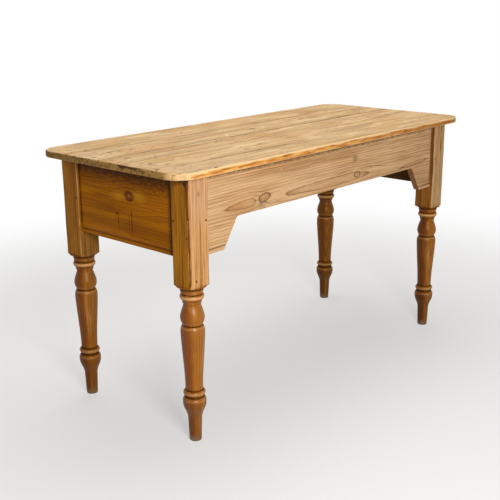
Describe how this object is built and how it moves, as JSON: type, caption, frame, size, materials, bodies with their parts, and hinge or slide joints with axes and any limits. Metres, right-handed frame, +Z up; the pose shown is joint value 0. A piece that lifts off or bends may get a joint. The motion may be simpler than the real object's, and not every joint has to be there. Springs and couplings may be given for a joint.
{
  "type": "kitchen table",
  "caption": "Old pine kitchen table with a boarded round-cornered top, deep beaded aprons, knee arches and turned legs.",
  "frame": {"origin": "on the floor under the middle of the top", "axes": "+X along the table, -Y towards the front, +Z up"},
  "size_m": [1.37, 0.592, 0.77],
  "materials": {
    "scrubbed_pine": "scrubbed and worn, nearly bare",
    "apron_pine": "lightly waxed, aged",
    "waxed_pine": "waxed, satin, aged dark in the grooves",
    "raw_pine": "bare, dusty",
    "peg_wood": "end grain, dark with age",
    "screw_steel": "dull, oxidised"
  },
  "bodies": {
    "root": {"top_board_1": "scrubbed_pine", "top_board_2": "scrubbed_pine", "top_board_3": "scrubbed_pine", "top_board_4": "scrubbed_pine", "top_board_5": "scrubbed_pine", "leg_front_left": "waxed_pine", "leg_front_right": "waxed_pine", "leg_back_left": "waxed_pine", "leg_back_right": "waxed_pine", "apron_front": "apron_pine", "glue_blocks_front": "raw_pine", "apron_back": "apron_pine", "glue_blocks_back": "raw_pine", "apron_left": "apron_pine", "glue_blocks_left": "raw_pine", "apron_right": "apron_pine", "glue_blocks_right": "raw_pine", "top_batten_left": "raw_pine", "top_batten_right": "raw_pine", "draw_pegs": "peg_wood", "batten_screws": "screw_steel", "pocket_screws": "screw_steel"}
  },
  "joints": []
}
